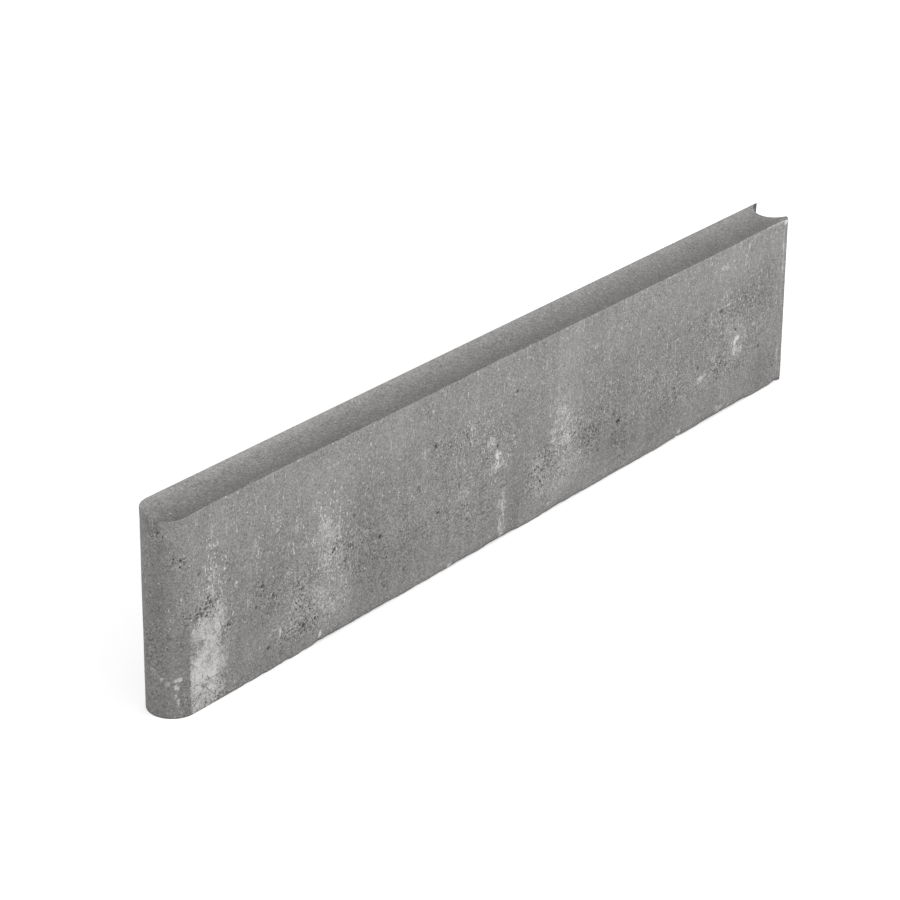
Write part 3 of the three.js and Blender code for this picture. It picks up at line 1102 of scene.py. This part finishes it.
@dataclass(frozen=True)
class CastConcrete:
    """Vibrated cast concrete, weathered outdoors.

    Cement paste fills the mould's skin, so the faces are fairly even and matt, with sand grains and
    pinholes of a millimetre or two.  Pulling the mould drags fine light dashes and scratches up the
    faces.  Lime that washes out dries as a pale bloom, which cracks into flakes where it is thick.
    Shade is painted on the low side of the dished top, in the groove, at the foot, and in the pits
    and pores.

    A pair of numbers is the value at which an effect starts and the one at which it is full; a second
    pair after it is the strength at each.
    """

    paste: str = "#8e8c8b"
    lime: str = "#d4d2d0"
    # Dark colour of the painted shade in pits and pores, of dark grains and of cracks.
    pore: str = "#3c3a38"
    # Colour of the painted shade.
    painted_shade: str = "#5a5856"
    roughness: float = 0.92

    # Relief, with heights in mm.
    relief: tuple[tuple[Layer, float], ...] = ((Layer.GRIT, 0.5), (Layer.SAND, 0.35))
    hole_relief: float = -0.5
    bloom_relief: float = 0.12

    # Tone of the paste, single grains that flash light or dark, and the painted shade's break-up.
    grain_contrast: float = 1.15
    dry_contrast: float = 0.25
    lime_evenness: float = 0.8
    open_swing: float = 0.75
    least_swing: float = 0.64
    flash_share: float = 0.5
    glint: tuple[float, float] = (0.89, 0.96)
    pepper: tuple[float, float] = (0.13, 0.05)
    darkest: float = 0.9
    painted_shade_break: tuple[float, ...] = (-0.2, 0.2, 0.75, 1.15)

    # Break-up of the bloom, and the flakes and cracks of thick lime, with sizes in mm.
    bloom_break: tuple[tuple[Layer, float], ...] = (
        (Layer.MOTTLE, 0.5), (Layer.GRIT, 0.7), (Layer.SAND, 0.7),
    )
    flake_break: float = 0.35
    bloom_edge: tuple[float, float] = (0.15, 0.95)
    bloom_near: tuple[float, float] = (0.02, 0.25)
    flake: tuple[float, float, float] = (19.0, 15.0, 1)
    meander: tuple[tuple[Layer, float], ...] = ((Layer.CLOUDS, 12.0), (Layer.MOTTLE, 4.0))
    crack_width: tuple[float, float] = (0.055, 0.02)
    crack_mottle: tuple[float, float] = (-0.14, 0.0)
    crack_crust: tuple[float, ...] = (0.5, 0.7, 0.0, 0.9)
    crack_open: tuple[float, ...] = (0.25, 0.5, 0.15, 1.0)

    # Light marks and pores, whose cells are bent by up to a size in mm.
    bend: float = 1.8
    drag_share: float = 0.5
    likely: tuple[float, float] = (1.0, 1.1)
    mark_core: float = 0.6
    open_pore: float = 0.74
    least_pore: float = 0.15
    pore_chance: float = 0.3
    pore_edge: tuple[float, float] = (-0.06, 0.05)

    def material(self) -> bpy.types.Material:
        """Builds the finish from the mesh's coats and from patterns in object coordinates.

        Returns:
            The material.
        """
        made = bpy.data.materials.new("cast_concrete")
        patterns = self.patterns(fresh_nodes(made))
        add, tone = patterns.add, self.tone(patterns)
        bloom, holes = self.bloom(patterns), self.holes(patterns)
        light, dark = self.light_marks(patterns, bloom), self.dark_marks(patterns, holes)

        # The painted shade, broken up by the mottle.
        painted_shade = add(RANGE, (patterns.noise[Layer.MOTTLE], *self.painted_shade_break))
        painted_shade = add(MATH, (painted_shade, patterns.coat[Coat.PAINTED_SHADE]), operation="MULTIPLY", use_clamp=True)
        colour = add(BLEND, {0: painted_shade, 6: linear(self.paste), 7: linear(self.painted_shade)}, 2, data_type="RGBA")
        colour = add(VECTOR, {0: colour, "Scale": tone}, operation="SCALE")
        even = add(MATH, (tone, 1 - self.lime_evenness, self.lime_evenness), operation="MULTIPLY_ADD")
        lime = add(VECTOR, {0: linear(self.lime)[:3], "Scale": even}, operation="SCALE")
        for share, over in ((light, lime), (dark, linear(self.pore))):
            colour = add(BLEND, {0: share, 6: colour, 7: over}, 2, data_type="RGBA")

        heights = [(patterns.noise[layer], size) for layer, size in self.relief]
        relief = 0.0
        for height, size in (*heights, (holes, self.hole_relief), (bloom, self.bloom_relief)):
            relief = add(MATH, (height, size, relief), operation="MULTIPLY_ADD")
        bump = add("ShaderNodeBump", {"Height": relief, "Distance": MM, "Strength": 1.0})
        skin = {"Base Color": colour, "Roughness": self.roughness, "Normal": bump}
        add("ShaderNodeOutputMaterial", {"Surface": add("ShaderNodeBsdfPrincipled", skin)})
        return made

    def patterns(self, add: AddNode) -> Patterns:
        """Adds the coats, the noises and the cells, whose edges follow a noise and so are uneven.

        Args:
            add: What adds a node to the finish.

        Returns:
            Their sockets.
        """
        coat = {kind: add(ATTRIBUTE, give="Fac", attribute_name=kind.value) for kind in Coat}
        wall = add(ATTRIBUTE, give="Vector", attribute_name=UNROLLED)
        place = add("ShaderNodeTexCoord", give="Object")
        mm = add(VECTOR, {0: place, "Scale": 1 / MM}, operation="SCALE")
        waves, noise, cell = {}, {}, {}
        for layer in Layer:
            spaced = add(VECTOR, (mm, layer.value.waves), operation="DIVIDE")
            settings = {"Vector": spaced, "Scale": 1.0, "Detail": layer.value.detail}
            waves[layer] = add("ShaderNodeTexNoise", settings)
            noise[layer] = add(MATH, (waves[layer], NOISE_MIDDLE), operation="SUBTRACT")
        bent = [self.bent(add, around, waves[Layer.GRIT], self.bend) for around in (mm, wall)]
        for marks in Marks:
            spaced = add(VECTOR, (bent[marks.value.flat], marks.value.spacing), operation="DIVIDE")
            sides = "2D" if marks.value.flat else "3D"
            cell[marks] = add(CELLS, {"Vector": spaced, "Scale": 1.0}, voronoi_dimensions=sides)
        swing = (coat[Coat.OPEN], self.open_swing, self.least_swing)
        swing = add(MATH, swing, operation="MULTIPLY_ADD")
        flash = add(MATH, (swing, self.flash_share), operation="MULTIPLY")
        for layer, size in self.meander:
            wall = self.bent(add, wall, waves[layer], size)
        flake = {"Vector": add(VECTOR, (wall, self.flake), operation="DIVIDE"), "Scale": 1.0}
        plate = add(CELLS, flake, "Color", voronoi_dimensions="2D")
        crack = add(CELLS, flake, feature="DISTANCE_TO_EDGE", voronoi_dimensions="2D")
        return Patterns(add, coat, noise, cell, swing, flash, plate, crack)

    def bent(self, add: AddNode, place: Socket, noise: Socket, size: float) -> Socket:
        """Places in mm, moved about by the three colours of a noise so that straight lines bend."""
        swing = add(VECTOR, (noise.node.outputs["Color"], (NOISE_MIDDLE,) * 3), operation="SUBTRACT")
        return add(VECTOR, (swing, (size,) * 3, place), operation="MULTIPLY_ADD")

    def tone(self, patterns: Patterns) -> Socket:
        """How light the paste is, 1 on average: the grain swings further where the skin is open.

        Args:
            patterns: The sockets to mix from.

        Returns:
            The factor on the paste's colour.
        """
        add, noise, tone = patterns.add, patterns.noise, 1.0
        grain = (patterns.chance(Marks.GRAINS), self.grain_contrast, -self.grain_contrast / 2)
        grain = add(MATH, grain, operation="MULTIPLY_ADD")
        for layer in (Layer.CLOUDS, Layer.BANDS, Layer.MOTTLE):
            tone = add(MATH, (noise[layer], layer.value.contrast, tone), operation="MULTIPLY_ADD")
        for layer in (Layer.GRIT, Layer.SAND):
            grain = add(MATH, (noise[layer], layer.value.contrast, grain), operation="MULTIPLY_ADD")
        tone = add(MATH, (grain, patterns.swing, tone), operation="MULTIPLY_ADD")
        return add(MATH, (patterns.coat[Coat.DRYNESS_AND_PAINTED_LIGHT], self.dry_contrast, tone), operation="MULTIPLY_ADD")

    def bloom(self, patterns: Patterns) -> Socket:
        """Cover of the lime bloom and of the painted highlight on the rim: where the coat is thin the
        noises break it up into fine flecks.

        Args:
            patterns: The sockets to mix from.

        Returns:
            The cover, from 0 to 1.
        """
        add, coat = patterns.add, patterns.coat[Coat.BLOOM]
        uneven = add(MATH, (patterns.plate, NOISE_MIDDLE), operation="SUBTRACT")
        ragged = add(MATH, (uneven, self.flake_break, coat), operation="MULTIPLY_ADD")
        for layer, share in self.bloom_break:
            ragged = add(MATH, (patterns.noise[layer], share, ragged), operation="MULTIPLY_ADD")
        ragged = add(RANGE, (ragged, *self.bloom_edge), interpolation_type="SMOOTHSTEP")
        near = add(RANGE, (coat, *self.bloom_near))
        return add(MATH, (ragged, near), operation="MULTIPLY")

    def light_marks(self, patterns: Patterns, bloom: Socket) -> Socket:
        """The bloom with the glints, specks, dashes and scratches, each where its chance is high.

        Args:
            patterns: The sockets to mix from.
            bloom: Cover of the lime bloom.

        Returns:
            How far each place is towards the colour of lime.
        """
        add, drag = patterns.add, patterns.coat[Coat.DRAG]
        glint = add(RANGE, (patterns.chance(Marks.GRAINS), *self.glint, 0.0, patterns.flash))
        light = add(MATH, (bloom, glint), operation="MAXIMUM")
        for marks in (Marks.SPECKS, Marks.DASHES, Marks.SCRATCHES):
            radius, strength = marks.value.radius, marks.value.strength
            likely = add(MATH, (drag, self.drag_share, patterns.chance(marks)), operation="MULTIPLY_ADD")
            likely = add(RANGE, (likely, *self.likely))
            dot = add(RANGE, (patterns.cell[marks], radius, self.mark_core * radius, 0.0, strength))
            dot = add(MATH, (dot, likely), operation="MULTIPLY")
            light = add(MATH, (light, dot), operation="MAXIMUM")
        return light

    def holes(self, patterns: Patterns) -> Socket:
        """The small pores, in cells of a high enough chance, and wider where the skin is open.

        Args:
            patterns: The sockets to mix from.

        Returns:
            1 inside a pore, eased to 0 at its edge.
        """
        add, coat = patterns.add, patterns.coat[Coat.OPEN]
        reach = add(MATH, (coat, self.open_pore, self.least_pore), operation="MULTIPLY_ADD")
        some = add(MATH, (patterns.chance(Marks.PORES), self.pore_chance), operation="SUBTRACT")
        reach = add(MATH, (reach, some), operation="MULTIPLY")
        inside = add(MATH, (reach, patterns.cell[Marks.PORES]), operation="SUBTRACT")
        return add(RANGE, (inside, *self.pore_edge), interpolation_type="SMOOTHSTEP")

    def dark_marks(self, patterns: Patterns, holes: Socket) -> Socket:
        """Painted shade in pits and pores, dark sand grains, and the cracks that run between flakes of
        thick lime.

        Args:
            patterns: The sockets to mix from.
            holes: The small pores.

        Returns:
            How far each place is towards the dark colour.
        """
        add, coat = patterns.add, patterns.coat
        crack = add(RANGE, (patterns.crack, *self.crack_width))
        mottle = (patterns.noise[Layer.MOTTLE], *self.crack_mottle)
        for gate in (mottle, (coat[Coat.BLOOM], *self.crack_crust), (coat[Coat.OPEN], *self.crack_open)):
            crack = add(MATH, (crack, add(RANGE, gate)), operation="MULTIPLY")
        pepper = add(RANGE, (patterns.chance(Marks.GRAINS), *self.pepper, 0.0, patterns.flash))
        # Painted shade in the pits and the pores.
        dark = coat[Coat.PAINTED_PIT_SHADE]
        for mark in (holes, crack, pepper):
            dark = add(MATH, (dark, mark), operation="MAXIMUM")
        return add(MATH, (dark, self.darkest), operation="MULTIPLY")


@dataclass(frozen=True)
class Lamp:
    """A square lamp that faces the stone, which it sees from a bearing and a height in degrees.

    Share is the light on a surface that faces the lamp, where 1 shows a white surface as white, and
    size is the lamp's edge in metres.
    """

    bearing: float
    height: float
    share: float
    size: float


@dataclass
class Studio:
    """A white floor without an edge, an even sky, and soft lamps at a plain level of light."""

    floor_radius: float = 3.6
    floor_sides: int = 96
    floor_lift: float = 0.3
    bounce_colour: str = "#8a8a8a"
    sky: float = 0.60
    key: Lamp = Lamp(18.0, 27.0, 0.62, 1.6)
    fill: Lamp = Lamp(255.0, 35.0, 0.28, 2.5)
    lamp_distance: float = 4.0

    def seen(self, add: AddNode) -> Socket:
        """A socket that is 1 for what the camera sees, straight or in a reflection, and 0 for light."""
        rays = add("ShaderNodeLightPath").node.outputs
        return add(MATH, (rays["Is Camera Ray"], rays["Is Glossy Ray"]), operation="MAXIMUM")

    def floor(self) -> bpy.types.Object:
        """A disc at the height of the bed, which is grey to the stone and white to the eye.

        Returns:
            The disc, at the origin.
        """
        turn = np.linspace(0, 2 * math.pi, self.floor_sides, endpoint=False)
        rim = np.column_stack([arc(0, 0, self.floor_radius, turn), 0 * turn])
        mesh = bpy.data.meshes.new("floor")
        mesh.from_pydata(rim, [], [tuple(range(len(rim)))])
        made = bpy.data.materials.new("studio_floor")
        add = fresh_nodes(made)
        plain = add("ShaderNodeBsdfDiffuse", {"Color": linear(self.bounce_colour)})
        white = add("ShaderNodeBsdfDiffuse", {"Color": linear(WHITE)})
        lift = add("ShaderNodeEmission", {"Color": linear(WHITE), "Strength": self.floor_lift})
        lit = add("ShaderNodeAddShader", (white, lift))
        shown = add("ShaderNodeMixShader", (self.seen(add), plain, lit))
        add("ShaderNodeOutputMaterial", {"Surface": shown})
        mesh.materials.append(made)
        return placed("floor", mesh)

    def world(self) -> None:
        """An even grey sky that the camera sees as white."""
        world = bpy.data.worlds.new("studio")
        add = fresh_nodes(world)
        sky, white = (
            add("ShaderNodeBackground", {"Color": linear(WHITE), "Strength": strength})
            for strength in (self.sky, 1.0)
        )
        shown = add("ShaderNodeMixShader", (self.seen(add), sky, white))
        add("ShaderNodeOutputWorld", {"Surface": shown})
        bpy.context.scene.world = world

    def hang(self, name: str, lamp: Lamp) -> None:
        """Hangs a lamp so that it faces the stone.

        A lamp of power P and distance r lights a surface that faces it with P / (pi r^2), and a white
        surface shows as 1 where that is pi, so a lamp for a share of 1 has the power pi^2 r^2.

        Args:
            name: Name of the lamp.
            lamp: Where it hangs, its light and its size.
        """
        ray = direction(lamp.bearing, lamp.height)
        data = bpy.data.lights.new(name, "AREA")
        data.energy = lamp.share * math.pi**2 * self.lamp_distance**2
        data.size = lamp.size
        hung = placed(name, data)
        hung.location = ray * self.lamp_distance
        hung.rotation_euler = ray.to_track_quat("Z", "Y").to_euler()

    def build(self) -> None:
        """Makes the floor, the sky and the lamps."""
        self.floor()
        self.world()
        self.hang("key", self.key)
        self.hang("fill", self.fill)


@dataclass(frozen=True)
class StillCamera:
    """The camera: it looks at the stone's middle from the front left, a little from above.

    Angles are in degrees and lengths in mm, and the focal length is in pixels of a render of the
    given width.  The aim's offsets say how far the stone lies right of the view's middle and above it.
    """

    azimuth: float = -51.98
    elevation: float = 25.43
    roll: float = 1.13
    distance: float = 2804.8
    focal_pixels: float = 2799.6
    render_width: float = 900.0
    sensor: float = 36.0
    aim_height: float = 100.0
    aim_right: float = 49.56
    aim_up: float = 16.58
    clip_metres: tuple[float, float] = (0.05, 100.0)

    def build(self) -> bpy.types.Object:
        """Places the camera, and makes it the scene's.

        Returns:
            The camera object.
        """
        back = direction(self.azimuth, self.elevation)
        level, roll = direction(self.azimuth + 90, 0), math.radians(self.roll)
        upright = back.cross(level)
        right = level * math.cos(roll) + upright * math.sin(roll)
        up = upright * math.cos(roll) - level * math.sin(roll)
        eye = Vector((0, 0, self.aim_height)) + back * self.distance
        eye -= right * self.aim_right + up * self.aim_up
        data = bpy.data.cameras.new("still_camera")
        data.sensor_width = self.sensor
        data.lens = self.sensor * self.focal_pixels / self.render_width
        data.clip_start, data.clip_end = self.clip_metres
        camera = placed("still_camera", data)
        turned = Matrix((right, up, back)).transposed().to_4x4()
        camera.matrix_world = Matrix.Translation(eye * MM) @ turned
        bpy.context.scene.camera = camera
        return camera


def main() -> None:
    """Loads the frame, dresses the stone, and sets up the studio and the camera."""
    logging.basicConfig(level=logging.INFO, format="%(name)s: %(message)s")
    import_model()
    low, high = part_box(NODE)
    length, width, height = (round((b - a) / MM, 2) for a, b in zip(low, high))
    bpy.context.scene.view_settings.view_transform = "Standard"

    stone = KerbStone(PlanRings(length, width), HalfSection(width / 2, height))
    casting = stone.build()
    casting.data.materials.append(CastConcrete().material())
    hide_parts(NODE)
    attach(casting, BODY)
    faces = len(casting.data.polygons)
    log.info("%s: %d faces, %g x %g x %g mm", casting.name, faces, length, width, height)

    Studio().build()
    log.info("studio: floor, sky and lamps")
    camera = StillCamera().build()
    log.info("%s: lens %.1f mm", camera.name, camera.data.lens)


if __name__ == "__main__":
    main()
